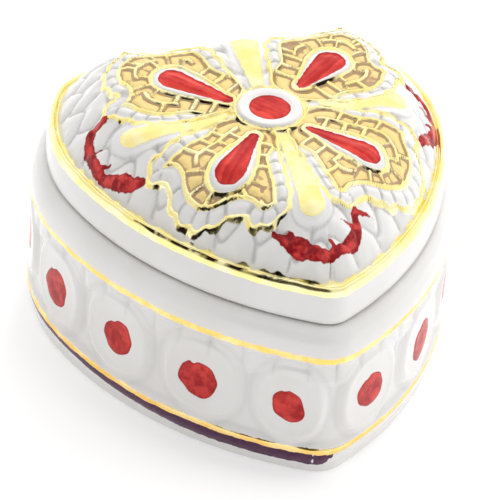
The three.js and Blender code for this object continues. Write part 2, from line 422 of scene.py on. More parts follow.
@dataclass
class Fan:
    """One fan of the flower: a teardrop in a white border, gilded cells round it, and a row of beads."""

    outline: list[tuple[float, float]]
    drop: Teardrop
    cord: float = 0.48
    border: float = 1.1
    bead_band: float = 2.5
    bead_pitch: float = 3.7
    scallop: float = 0.5
    cell_joints: tuple[float, ...] = (0.15, 0.45, 0.76, 1.06)
    cap_joint: float = 0.5
    two_rows: float = 6.0
    stagger: float = 1.6

    def apply(self, x: Array, y: Array, centre: tuple[float, float], relief: Relief) -> None:
        """Mould and paint the fan.

        Args:
            x: Places' first coordinates.
            y: Places' second coordinates.
            centre: Middle of the flower.
            relief: What the fan is added to.
        """
        line = smooth_closed_line(self.outline)
        way, along, inside = way_to_line(x, y, line, True)
        outside_drop, flank, angle, across = self.drop.measure(x, y)
        radius = np.hypot(x - centre[0], y - centre[1])
        uneven = 0.12 * hand_wobble(x, y, 5.0, 0.7)
        scallop = self.scallop * (np.abs(np.sin(math.pi * along / self.bead_pitch)) - 0.6)
        near_edge = smooth_step(radius, 12.0, 17.0) * (1 - smooth_step(way, 0.8, 2.6))
        inner = np.where(inside, way, -way) + scallop * near_edge

        band = self.bead_band * smooth_step(radius, 11.0, 17.5)
        border = self.border * (0.15 + 0.85 * smooth_step(flank, 1.0, 9.0))
        outer_cord = self.cord - np.abs(inner - 0.1 + uneven)
        bead_cord = self.cord * 0.9 - np.abs(inner - band - 0.5 + uneven)
        bead_cord = np.where(band > 0.5, bead_cord, FAR_OFF)
        drop_cord = self.cord * 1.05 - np.abs(outside_drop - border - 0.45 + uneven)
        cell_zone = np.minimum(inner - band - 0.4, outside_drop - border - 0.4)
        from_drop, from_band = outside_drop - border, inner - band
        halfway = np.abs(from_drop - from_band) / 2
        room = (from_drop + from_band - self.two_rows) * 2
        ring_cord = np.minimum(self.cord * 0.95 - halfway + uneven, room)
        ring_cord = np.minimum(ring_cord, cell_zone)
        outer_row = (from_drop > from_band) & (from_drop + from_band > self.two_rows)
        shift = np.where(outer_row, self.stagger, 0.0)

        drop_length = float(np.hypot(*np.subtract(self.drop.end, self.drop.start)))
        spoke = np.full(x.shape, 9.0)
        on_flank = angle <= 0
        for joint in self.cell_joints:
            from_spoke = np.abs(flank - joint * drop_length - shift)
            spoke = np.where(on_flank, np.minimum(spoke, from_spoke), spoke)
        from_joint = np.abs((angle / self.cap_joint - 0.5 + 0.35 * outer_row) % 1.0 - 0.5) * self.cap_joint
        cap_radius = outside_drop + self.drop.end_radius
        spoke = np.where(on_flank, spoke, np.minimum(spoke, from_joint * cap_radius + 0.1))
        spoke_cord = np.minimum(self.cord * 0.95 - spoke + uneven, cell_zone)

        cords = np.maximum(np.maximum(bead_cord, drop_cord), np.maximum(spoke_cord, ring_cord))
        cords = np.minimum(cords, np.minimum(inner + 0.3, outside_drop - border + 0.2))
        cords = np.maximum(cords, outer_cord)
        in_cell = np.minimum(cell_zone, -cords)

        bead_gap = np.abs((along / self.bead_pitch) % 1.0 - 0.5) * 2
        bead = np.clip(np.minimum(inner - 0.5, band - inner), 0, 1.2) / 1.2
        beads = 0.7 * np.sqrt(bead) * (1 - 0.95 * smooth_step(bead_gap, 0.7, 0.98))

        fan_in = smooth_step(inner, -0.3, 0.5)
        relief.height = relief.height * (1 - fan_in)
        raised = 0.15 * fan_in + beads * (outside_drop > border)
        raised = np.maximum(raised, 0.9 * smooth_step(cords, -0.22, self.cord * 0.8))
        raised = raised + 0.35 * smooth_step(in_cell, 0.15, 0.9)
        rim = smooth_step(-outside_drop, -border - 0.2, -border * 0.5)
        raised = np.where(inside, np.maximum(raised, 0.7 * rim), raised)
        enamel_bed = 0.16 * smooth_step(-outside_drop, -0.1, 0.5)
        enamel_bed = enamel_bed - 0.3 * smooth_step(-outside_drop, 0.3, 2.2)
        relief.height = relief.height + raised - enamel_bed * inside

        relief.add(Paint.GILDING, np.maximum(cords, np.minimum(cell_zone + 0.1, inner)))
        relief.keep_off(Paint.GILDING, border - 0.05 - outside_drop)
        relief.add(Paint.LEAF, in_cell)
        # Seam line inside each cell's edge: painted brown, and painted shade at the cord's foot.
        relief.add(Paint.SEAM, np.minimum(0.34 - in_cell, 1.5 * (in_cell + 0.14)))
        # Painted dark reflection: a near-black line round the drop's outer end, on its front side.
        out_x, out_y = x - self.drop.end[0], y - self.drop.end[1]
        toward = (-0.3 * out_x - 0.95 * out_y) / np.maximum(np.hypot(out_x, out_y), 0.5)
        dark_reflection_rim = 0.36 - np.abs(outside_drop - border - 0.55 + uneven)
        relief.add(Paint.DARK_REFLECTION, np.minimum(dark_reflection_rim, toward - 0.72))
        # Painted shade in the gaps between the beads, kept off the rest of the fan.
        relief.keep_off(Paint.GROOVE_SHADE, inner * 4)
        from_gap = (1 - bead_gap) * self.bead_pitch / 2
        relief.add(Paint.GROOVE_SHADE, np.minimum(0.3 - from_gap, np.minimum(inner - 0.5, band - inner)))
        relief.add(Paint.ENAMEL, -outside_drop + 0.12 * hand_wobble(x, y, 2.4, 1.9))
        relief.marks[Paint.STROKE] = np.where(outside_drop < 0.5, across, relief.marks[Paint.STROKE])


@dataclass
class DomeForm:
    """Pillow dome of the lid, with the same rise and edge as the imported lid, in mm."""

    rise: float = 12.3
    fall: float = 0.5
    back_tilt: float = 0.05
    edge_width: float = 13.2
    back_growth: float = 0.2
    notch_narrowing: float = 11.0
    notch_reach: float = 25.0
    centre_shift: float = 3.4
    blend: float = 4.0

    def height(self, x: Array, y: Array, way: Array, half_width: float) -> Array:
        """Height of the dome above the rim.

        Args:
            x: Places' first coordinates.
            y: Places' second coordinates.
            way: Distance inside the dome's edge.
            half_width: Half the heart's width.

        Returns:
            The height at each place.
        """
        behind = np.maximum(y - self.centre_shift, 0)
        near_notch = round_bump(x, self.notch_reach) * np.clip(behind / self.notch_reach, 0.0, 1.0)
        edge = self.edge_width + self.back_growth * behind - self.notch_narrowing * near_notch
        short = 1 - np.clip(way / edge, 0, 1)
        far = np.hypot(x, y - self.centre_shift) / half_width
        crown = self.rise - self.fall * far**2 + self.back_tilt * behind
        return crown * (1 - short**2)


@dataclass
class LidFlower:
    """Moulded and painted flower of the lid, and the cobbled field and ridge round it, in mm."""

    centre: tuple[float, float] = (-0.35, 2.6)
    button_radius: float = 5.9
    button_foot: float = 7.4
    enamel_radius: float = 4.1
    button_rise: float = 1.1
    cobble_depth: float = 6.2
    cobble_width: float = 7.6
    cobble_start: float = 2.4
    cobble_rise: float = 0.5
    left_fan: list[tuple[float, float]] = field(
        default_factory=lambda: [
            (-7.0, 0.6), (-12.5, -0.2), (-18.3, -1.9), (-22.5, -3.7), (-26.4, -5.1), (-27.8, -7.4),
            (-26.6, -9.3), (-25.0, -10.6), (-25.2, -13.2), (-24.9, -16.2), (-23.7, -18.6), (-22.3, -20.5),
            (-19.3, -22.3), (-16.0, -23.2), (-14.1, -24.2), (-12.8, -26.4), (-10.8, -27.7), (-8.3, -28.0),
            (-6.0, -27.1), (-4.9, -24.8), (-4.2, -20.8), (-3.3, -15.0), (-2.6, -9.5), (-2.2, -5.2),
        ]
    )
    right_fan: list[tuple[float, float]] = field(
        default_factory=lambda: [
            (7.0, 0.8), (12.5, 0.3), (16.0, -0.7), (19.5, -2.1), (22.6, -3.6), (26.3, -4.7), (27.8, -6.6),
            (26.6, -8.8), (26.9, -12.0), (26.3, -15.2), (24.8, -18.0), (22.2, -21.3), (19.0, -23.2),
            (15.4, -24.7), (11.8, -25.2), (9.0, -26.0), (7.2, -27.6), (4.6, -27.9), (2.3, -26.6),
            (1.3, -23.6), (0.9, -19.0), (0.7, -13.0), (0.7, -9.0), (0.9, -5.2),
        ]
    )
    back_fan: list[tuple[float, float]] = field(
        default_factory=lambda: [
            (7.0, 4.2), (11.6, 2.9), (16.6, 2.1), (21.1, 2.3), (24.3, 3.6), (26.8, 6.0), (28.4, 8.8),
            (30.6, 11.4), (30.0, 13.5), (27.4, 14.4), (28.3, 18.0), (27.9, 22.2), (25.8, 25.8),
            (22.4, 27.6), (18.2, 28.6), (14.4, 27.6), (11.0, 27.2), (7.6, 26.4), (5.4, 23.8),
            (4.4, 19.5), (3.5, 14.0), (2.9, 9.6),
        ]
    )

    def apply(self, x: Array, y: Array, way: Array, along: Array, relief: Relief) -> None:
        """Mould and paint the whole crown.

        Args:
            x: Places' first coordinates.
            y: Places' second coordinates.
            way: Distance inside the dome's edge.
            along: Way round the dome's edge of the nearest point.
            relief: What the flower is added to.
        """
        self._field(x, y, way, along, relief)
        for fan in self._fans():
            fan.apply(x, y, self.centre, relief)
        for drop in self._drops():
            self._gilded_drop(x, y, drop, relief)
        for line in self._crescents():
            self._crescent(x, y, smooth_open_line(line), relief)
        self._button(x, y, relief)

    def _fans(self) -> list[Fan]:
        """Two front fans and two back fans."""
        mirrored = [(2 * self.centre[0] - x, y) for x, y in self.back_fan]
        return [
            Fan(self.left_fan, Teardrop((-6.2, -5.8), (-13.9, -15.3), 0.95, 2.95)),
            Fan(self.right_fan, Teardrop((5.2, -5.6), (13.7, -15.1), 0.8, 2.7)),
            Fan(self.back_fan, Teardrop((8.4, 9.0), (16.4, 15.4), 1.2, 3.1)),
            Fan(mirrored, Teardrop((-7.6, 7.0), (-16.2, 15.6), 1.1, 3.0)),
        ]

    def _drops(self) -> list[Teardrop]:
        """Gilded drops on the flower's axes."""
        return [
            Teardrop((-9.6, 2.2), (-28.2, 2.2), 0.8, 2.1, -2.1),
            Teardrop((10.4, 2.2), (26.3, 2.0), 0.8, 2.2, 1.6),
            Teardrop((-0.75, -6.6), (-1.6, -27.8), 0.9, 2.4),
            Teardrop((-0.4, 10.2), (1.4, 25.2), 1.2, 2.9),
        ]

    def _crescents(self) -> list[list[tuple[float, float, float]]]:
        """Brush lines of the red crescents, each point with its half width."""
        left = [
            (-31.5, 10.7, 0.7), (-33.6, 11.0, 1.1), (-34.9, 8.6, 0.9), (-34.9, 5.0, 0.75),
            (-34.1, 1.2, 0.75), (-32.6, -1.9, 0.85), (-30.8, -4.3, 1.15), (-28.4, -6.4, 0.5),
        ]
        front = [
            (-9.3, -29.0, 0.4), (-7.3, -31.2, 0.95), (-4.2, -33.8, 1.2), (-0.6, -35.6, 0.85),
            (2.8, -34.7, 0.8), (5.6, -32.8, 1.1), (6.9, -30.4, 1.0), (7.0, -28.6, 0.55), (11.2, -28.0, 0.1),
        ]
        right = [
            (31.5, 10.7, 0.6), (33.8, 10.9, 1.0), (35.7, 8.6, 0.9), (36.0, 5.6, 0.8),
            (35.2, 2.6, 0.8), (33.3, -0.2, 0.9), (31.1, -2.8, 1.0), (28.8, -5.2, 0.5),
        ]
        back = [(-8.0, 27.6, 0.4), (-5.6, 29.8, 0.9), (0.6, 31.0, 0.9), (6.0, 30.0, 1.0), (8.8, 27.8, 0.5)]
        lines = [left, front, right, back]
        spikes = [
            ((6.2, -30.8), (2.8, -30.7)),
            ((1.2, -34.9), (0.0, -33.3)),
            ((-6.2, -31.6), (-7.0, -29.6)),
            ((-34.8, 6.8), (-32.7, 5.5)),
            ((-34.4, 2.8), (-32.4, 1.6)),
            ((-31.2, -3.4), (-30.2, -2.4)),
            ((34.9, 6.8), (32.4, 5.8)),
            ((34.6, 2.8), (32.2, 1.6)),
            ((33.8, 9.8), (31.4, 8.4)),
        ]
        for (x0, y0), (x1, y1) in spikes:
            lines.append([(x0, y0, 0.5), ((x0 + x1) / 2, (y0 + y1) / 2 + 0.2, 0.32), (x1, y1, 0.08)])
        return lines

    def _field(self, x: Array, y: Array, way: Array, along: Array, relief: Relief) -> None:
        """Cobbled pads between the fans and the ridge."""
        row_depth, pad = self.cobble_depth, self.cobble_width
        drift = 0.9 * hand_wobble(x, y, 15.0, 2.2)
        lean = 1.1 * np.cos(2 * math.pi * along / pad)
        scallop = way + drift + lean + self.cobble_start
        row = np.floor(scallop / row_depth)
        across = ((along + drift + 0.25 * way) / pad + 0.5 * (row % 2)) % 1.0
        groove = np.minimum(across, 1 - across) * pad
        level = np.abs((scallop / row_depth) % 1.0 - 0.5) * 2
        level_groove = (1 - level) * row_depth / 2
        to_joint = np.minimum(groove, level_groove)
        cut = 1 - smooth_step(to_joint, 0.05, 0.8)
        crown = smooth_step(to_joint, 0.2, 3.0)
        quiet = smooth_step(way, 0.2, 1.2)
        cobbles = (self.cobble_rise * crown - self.cobble_rise * cut) * quiet
        relief.height = relief.height + cobbles + 0.07 * hand_wobble(x, y, 7.0, 0.3)
        # Painted shade in the cobbles' grooves.
        relief.add(Paint.GROOVE_SHADE, (0.26 - to_joint) * quiet - 0.5 * (1 - quiet))

    def _gilded_drop(self, x: Array, y: Array, drop: Teardrop, relief: Relief) -> None:
        """One gilded drop: a raised pad with a soft crown."""
        outside, flank, _, _ = drop.measure(x, y)
        edge = outside + 0.1 * hand_wobble(x, y, 3.1, 4.0)
        free = smooth_step(flank, 7.0, 12.0)
        margin = smooth_step(-outside, -1.75, -1.35) * free
        relief.height = relief.height * (1 - margin) + 0.5 * margin
        pad = smooth_step(-outside, -0.25, 0.15)
        crown = 0.75 + 0.35 * smooth_step(-outside, 0.0, 2.2)
        relief.height = relief.height * (1 - pad) + crown * pad
        relief.add(Paint.GILDING, -edge)
        relief.keep_off(Paint.SEAM, -outside + 0.2)
        relief.keep_off(Paint.LEAF, -outside + 0.2)
        # Painted shade in a soft ring round the drop's outer part.
        relief.keep_off(Paint.GROOVE_SHADE, 1.4 - outside)
        relief.add(Paint.GROOVE_SHADE, (0.12 - np.abs(outside - 1.7)) * free - 0.5 * (1 - free))

    def _crescent(self, x: Array, y: Array, line: Array, relief: Relief) -> None:
        """One brush line of red."""
        near = (np.abs(x - line[:, 0].mean()) < 16) & (np.abs(y - line[:, 1].mean()) < 16)
        way, along, _ = way_to_line(x[near], y[near], line, False)
        ragged = 0.16 * hand_wobble(x[near], y[near], 1.7, 5.2)
        mark = np.full(x.shape, FAR_OFF)
        mark[near] = -way + ragged
        relief.add(Paint.ENAMEL, mark)
        lumps = 0.8 + 0.35 * np.sin(along * 1.9 + 1.0) * hand_wobble(x[near], y[near], 5.0, 2.0)
        relief.height[near] += 0.5 * smooth_step(-way, -0.2, 0.9) * lumps
        deep = mark[near] > -0.5
        relief.marks[Paint.DEEP][near] = np.where(deep, 1.0, relief.marks[Paint.DEEP][near])
        stroke = relief.marks[Paint.STROKE][near]
        relief.marks[Paint.STROKE][near] = np.where(way < 0.4, way * 1.6 + along * 0.12, stroke)

    def _button(self, x: Array, y: Array, relief: Relief) -> None:
        """Button in the flower's middle: red, in a white ring, in a gilded ring."""
        radius = np.hypot(x - self.centre[0], y - self.centre[1])
        inside = 1 - smooth_step(radius, self.button_foot - 0.3, self.button_foot + 0.5)
        slope = smooth_step(radius, self.button_radius + 0.2, self.button_foot - 0.5)
        crown = self.button_rise * (1 - slope)
        dish = 0.3 * (1 - smooth_step(radius, 3.8, 5.0)) - 0.22 * (1 - smooth_step(radius, 0.0, 4.0))
        cord = 0.5 * round_bump(radius - self.button_foot, 0.6)
        relief.height = np.where(radius < self.button_foot + 1, relief.height * (1 - inside), relief.height)
        relief.height = relief.height + crown - dish + cord
        wobble = 0.12 * hand_wobble(x, y, 4.2, 3.3)
        ring = 0.75 - np.abs(radius - self.button_foot + 0.15 + wobble)
        # Painted dark reflection: a near-black line on the gilded ring's front side.
        facing = (-0.45 * (x - self.centre[0]) - 0.9 * (y - self.centre[1])) / self.button_foot
        shadow_side = np.minimum(0.42 - np.abs(radius - self.button_foot - 0.2 + wobble), facing - 0.6)
        for paint in (Paint.GILDING, Paint.LEAF, Paint.SEAM):
            relief.keep_off(paint, self.button_foot - radius)
        relief.add(Paint.GILDING, ring)
        relief.add(Paint.DARK_REFLECTION, shadow_side)
        relief.keep_off(Paint.ENAMEL, self.button_foot - radius)
        relief.keep_off(Paint.GROOVE_SHADE, self.button_foot - radius)
        relief.add(Paint.ENAMEL, self.enamel_radius - radius + 0.5 * wobble)
        relief.marks[Paint.STROKE] = np.where(radius < 5, x * 0.8 + y * 0.6, relief.marks[Paint.STROKE])


@dataclass
class WallDecoration:
    """Medallions, dots and painted lines round the box casting's wall, in mm."""

    count: int = 14
    rise: float = 0.9
    sink: float = 1.2
    half_width: float = 9.1
    middle: float = 16.4
    half_height: float = 9.6
    dot_height: float = 15.9
    dot_width: float = 8.0
    dot_tall: float = 8.6
    gold_line: float = 28.1
    foot_line: float = 5.7
    line_half: float = 0.6
    tile_pitch: float = 6.6
    lean: float = 2.4

    def apply(self, way: Array, z: Array, length: float, relief: Relief) -> None:
        """Mould and paint the wall.

        Args:
            way: Way round the outline from the tip, anticlockwise seen from above.
            z: Height above the table.
            length: Length of the whole outline.
            relief: What the decoration is added to.
        """
        pitch = length / self.count
        back = length - way
        lean = self.lean * smooth_step(back, 0.0, 16.0) * (1 - smooth_step(back, 95.0, 138.0))
        place = np.maximum(way - lean - 0.6 * smooth_step(back, 0.0, 16.0), 0.0) / pitch
        number = np.floor(place)
        across = (place - number - 0.5) * pitch
        self._medallions(across, z, number, relief)
        self._tiles(way, z, relief)
        between_lines = smooth_step(z, 5.6, 8.0) * (1 - smooth_step(z, 26.5, 27.8))
        relief.height = relief.height - self.sink * between_lines
        self._dots(across, z, number, way, relief)
        self._lines(way, z, length, relief)

    def _medallions(self, across: Array, z: Array, number: Array, relief: Relief) -> None:
        """Soft round plateaus with a waist groove between each two."""
        u = np.abs(across + 0.35 * np.sin(number * 2.4)) / self.half_width
        v = np.abs(z - self.middle) / self.half_height
        size = (u**2.4 + v**2.4) ** (1 / 2.4)
        plateau = 1 - smooth_step(size, 0.8, 1.12)
        lip = round_bump(size - 0.84, 0.18)
        relief.height = relief.height + self.rise * plateau + 0.22 * lip
        relief.height = relief.height - 0.2 * (1 - smooth_step(size, 0.0, 0.8)) * plateau
        # Painted shade in a soft ring round the medallion's edge.
        relief.add(Paint.GROOVE_SHADE, -0.12 - np.abs(size - 1.07) * 1.2)

    def _tiles(self, way: Array, z: Array, relief: Relief) -> None:
        """Faint upright pads under the upper gold line."""
        zone = smooth_step(z, 20.5, 23.0) * (1 - smooth_step(z, 27.0, 27.8))
        drift = 0.5 * hand_wobble(way, z, 12.0, 0.4)
        joint = np.abs(((way + drift) / self.tile_pitch) % 1.0 - 0.5) * self.tile_pitch
        pad = 0.34 * smooth_step(self.tile_pitch / 2 - joint, 0.0, 1.1)
        relief.height = np.maximum(relief.height, zone * (0.35 + pad))
        # Painted shade in the joints between the tiles.
        tile_joint = (self.tile_pitch / 2 - joint) * 0.35
        relief.add(Paint.GROOVE_SHADE, -0.08 - tile_joint - 0.3 * (1 - zone))

    def _dots(self, across: Array, z: Array, number: Array, way: Array, relief: Relief) -> None:
        """Slanted red ovals, one on each medallion, no two quite the same."""
        near_tip = round_bump(np.minimum(way, self.count * 20.0 - way), 30.0)
        width = self.dot_width / 2 * (1 + 0.06 * np.sin(number * 3.7 + 1) + 0.12 * near_tip * (number > 8))
        tall = self.dot_tall / 2 * (1 + 0.04 * np.sin(number * 2.1) - 0.2 * near_tip)
        u = across - 0.3 * np.sin(number * 1.9)
        v = z - self.dot_height - 0.25 * np.sin(number * 4.1 + 0.5)
        slant = 0.5
        p = u * math.cos(slant) - v * math.sin(slant)
        q = u * math.sin(slant) + v * math.cos(slant)
        narrow = width * (1 - 0.1 * q / tall)
        size = np.hypot(p / narrow, q / tall)
        nick = 0.5 * round_bump(u + 1.2, 1.0) * (v > 1)
        edge = (1 - size) * width + 0.3 * hand_wobble(way, z, 7.0, 2.6) - nick
        relief.add(Paint.ENAMEL, edge)
        relief.marks[Paint.STROKE] = 2.4 * size + 0.2 * q
        relief.marks[Paint.DEEP] = np.where(edge > -0.5, 0.5, 0.0)
        relief.height = relief.height + 0.1 * smooth_step(edge, 0.0, 0.8)

    def _lines(self, way: Array, z: Array, length: float, relief: Relief) -> None:
        """Upper and lower gold lines, and the plum band under the lower one on one flank."""
        uneven = 0.16 * hand_wobble(way, z, 7.0, 1.1) + 0.1 * hand_wobble(way, z, 2.3, 0.2)
        upper = self.line_half - np.abs(z - self.gold_line - 0.15 * hand_wobble(way, way * 0, 31.0, 0.8))
        lower = self.line_half - np.abs(z - self.foot_line - 0.15 * hand_wobble(way, way * 0, 23.0, 2.8))
        relief.add(Paint.GILDING, upper + uneven)
        relief.add(Paint.GILDING, lower + uneven)
        back = length - way
        heavy = 1.4 + 1.8 * smooth_step(-back, -70.0, -24.0)
        top = self.foot_line - 0.35
        band = np.minimum(top - z, z - top + heavy) + 0.5 * uneven
        gap = np.abs(back - 3.0) - 0.15 + 0.2 * hand_wobble(way, z, 2.0, 4.4)
        reach = np.minimum(112.0 - back, back + 0.6)
        reach = np.where(way < 1.5, 1.2 - way, reach)
        relief.add(Paint.PLUM, np.minimum(np.minimum(band, reach), gap))


@dataclass
class Casting:
    """One porcelain casting: rings of stations round the heart, moulded, painted and closed."""

    outline: HeartOutline
    name: str
    body: Body
    node: str

    def lay(self, rings: list[Array], marks: list[dict[Paint, Array]]) -> bpy.types.Object:
        """Make a grid, lay its points on the rings and close its seams.

        Args:
            rings: Places of each ring's stations, in mm.
            marks: Painted marks of each ring's stations.

        Returns:
            The closed casting, shaded smooth.
        """
        levels = len(rings)
        stations = len(rings[0])
        bpy.ops.object.select_all(action="DESELECT")
        bpy.ops.mesh.primitive_grid_add(x_subdivisions=stations - 1, y_subdivisions=levels - 1, size=2)
        piece = bpy.context.object
        piece.name = self.name
        piece.data.name = self.name
        mesh = piece.data
        flat = np.zeros(len(mesh.vertices) * 3, np.float32)
        mesh.vertices.foreach_get("co", flat)
        grid = flat.reshape(-1, 3)
        column = np.rint((grid[:, 0] + 1) / 2 * (stations - 1)).astype(int)
        row = np.rint((grid[:, 1] + 1) / 2 * (levels - 1)).astype(int)
        place = np.stack(rings)[row, column] * MM
        mesh.vertices.foreach_set("co", place.astype(np.float32).ravel())
        for paint in Paint:
            layer = mesh.attributes.new(paint.value, "FLOAT", "POINT")
            values = np.stack([level[paint] for level in marks])[row, column]
            layer.data.foreach_set("value", values.astype(np.float32))
        mesh.update()
        bpy.ops.object.mode_set(mode="EDIT")
        bpy.ops.mesh.select_all(action="SELECT")
        bpy.ops.mesh.remove_doubles(threshold=4e-7)
        bpy.ops.mesh.normals_make_consistent(inside=False)
        bpy.ops.object.mode_set(mode="OBJECT")
        bpy.ops.object.shade_smooth()
        return piece

    def finish(self, piece: bpy.types.Object, finish: "PorcelainFinish") -> None:
        """Dress the casting and set it on its body.

        Args:
            piece: The closed casting.
            finish: Its decorated glaze.
        """
        piece.data.materials.clear()
        piece.data.materials.append(finish.material())
        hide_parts(self.node)
        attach(piece, self.body.value)
        LOG.info("%s: %d faces on body %s", piece.name, len(piece.data.polygons), self.body.value)


def plain_marks(like: Array) -> dict[Paint, Array]:
    """Marks of a ring that carries no paint."""
    return Relief.plain(like).marks


@dataclass
class BoxCasting(Casting):
    """Cup of the box: foot ring, decorated wall, rounded shoulder, mouth and hollow. Lengths in mm."""

    top: float = 34.1
    foot_height: float = 5.0
    gold_line: float = 28.1
    foot_inset: float = 1.0
    foot_ring: float = 4.2
    foot_recess: float = 1.2
    shoulder: float = 2.9
    mouth_inset: float = 6.4
    mouth_depth: float = 2.6
    wall: float = 3.8
    floor: float = 4.0
    edge: float = 0.5
    middle: tuple[float, float] = (0.0, 3.4)
    wall_rings: int = 62

    def build(self, decoration: WallDecoration, finish: "PorcelainFinish") -> bpy.types.Object:
        """Mould the cup ring by ring, from under the foot to the floor of the hollow.

        Args:
            decoration: Medallions and painted lines of the wall.
            finish: Decorated glaze.

        Returns:
            The finished casting.
        """
        rings: list[Array] = []
        marks: list[dict[Paint, Array]] = []
        for inset, z, spread in self._under():
            self._plain_ring(rings, marks, inset, z, spread)
        length = self.outline.length()
        way = self.outline.shares() * length
        for inset, z in self._outside():
            level = np.full(way.shape, z)
            relief = Relief.plain(way)
            decoration.apply(way, level, length, relief)
            fade = smooth_step(level, self.foot_height + 0.2, self.foot_height + 2.2)
            fade = fade * (1 - smooth_step(level, self.gold_line - 0.6, self.gold_line + 0.2))
            rings.append(self._swollen(inset, relief.height * fade, z))
            marks.append(relief.marks)
        for inset, z, spread in self._inside():
            self._plain_ring(rings, marks, inset, z, spread)
        piece = self.lay(rings, marks)
        self.finish(piece, finish)
        return piece

    def _plain_ring(
        self, rings: list[Array], marks: list[dict], inset: float, z: float, spread: float
    ) -> None:
        """Add one unpainted ring, drawn in towards the middle by its spread."""
        ring = self.outline.ring(inset)
        plan = np.array(self.middle) + (ring - self.middle) * spread
        rings.append(np.column_stack([plan, np.full(len(plan), z)]))
        marks.append(plain_marks(plan[:, 0]))

    def _swollen(self, inset: float, swell: Array, z: float) -> Array:
        """Ring whose stations stand out square to the outline by a swell."""
        near, far = self.outline.ring(inset), self.outline.ring(inset - 1.0)
        plan = near + (far - near) * swell[:, None]
        return np.column_stack([plan, np.full(len(plan), z)])

    def _under(self) -> list[tuple[float, float, float]]:
        """Underside and foot ring, as inset, height and spread."""
        outer = self.foot_inset + self.edge
        inner = outer + self.foot_ring
        rows = [(inner + 1.6, self.foot_recess, share) for share in np.linspace(0.0, 1.0, 12)]
        rows += [(inner + 0.9, self.foot_recess * 0.9, 1.0), (inner + 0.35, self.foot_recess * 0.45, 1.0)]
        rows += [(inner + 0.1, 0.12, 1.0), (inner - 0.2, 0.0, 1.0), (outer + 0.2, 0.0, 1.0)]
        rows += [(outer - 0.1, 0.05, 1.0), (self.foot_inset + 0.12, 0.28, 1.0), (self.foot_inset, 0.6, 1.0)]
        return rows

    def _outside(self) -> list[tuple[float, float]]:
        """Outside of the wall, as inset and height: foot, relief zone, plain band and shoulder."""
        rows = [(self.foot_inset - 0.02 * k, 0.6 + 0.22 * k) for k in range(1, 8)]
        heel = self.foot_height
        rows += [(0.8, 2.4), (0.66, 2.75), (0.5, 3.1), (0.36, 3.5), (0.24, 3.9), (0.15, 4.3), (0.08, 4.7)]
        rows += [(0.03, heel + 0.1), (0.0, heel + 0.5)]
        span = self.gold_line + 0.9 - (heel + 0.9)
        rows += [(0.0, heel + 0.9 + span * k / self.wall_rings) for k in range(self.wall_rings + 1)]
        low = self.gold_line + 0.9
        height = self.top - low
        rings = 16
        for k in range(1, rings + 1):
            turn = math.pi / 2 * k / rings
            inset = self.shoulder * (1 - math.cos(turn)) ** 1.15
            rows.append((inset, low + height * math.sin(turn) ** 1.25))
        return rows

    def _inside(self) -> list[tuple[float, float, float]]:
        """Mouth and hollow, as inset, height and spread."""
        mouth_foot = self.top - self.edge - self.mouth_depth
        rows = [(self.shoulder + 0.8, self.top, 1.0), (self.mouth_inset - self.edge, self.top, 1.0)]
        rows += [(self.mouth_inset - 0.15, self.top - 0.15, 1.0)]
        rounded = self.top - self.edge
        rows += [(self.mouth_inset, z, 1.0) for z in (rounded, rounded - 1.2, mouth_foot)]
        rows += [(self.mouth_inset - 1.3, mouth_foot - 1.3, 1.0), (self.wall, mouth_foot - 2.6, 1.0)]
        rows += [(self.wall, z, 1.0) for z in np.linspace(mouth_foot - 5, self.floor + 7, 5)]
        rows += [(self.wall + 0.3, self.floor + 4.4, 1.0), (self.wall + 1.5, self.floor + 1.8, 1.0)]
        rows += [(self.wall + 3.0, self.floor + 0.7, 1.0), (self.wall + 4.5, self.floor + 0.3, 1.0)]
        rows += [(self.wall + 8.0, self.floor, share) for share in np.linspace(1.0, 0.0, 12)]
        return rows


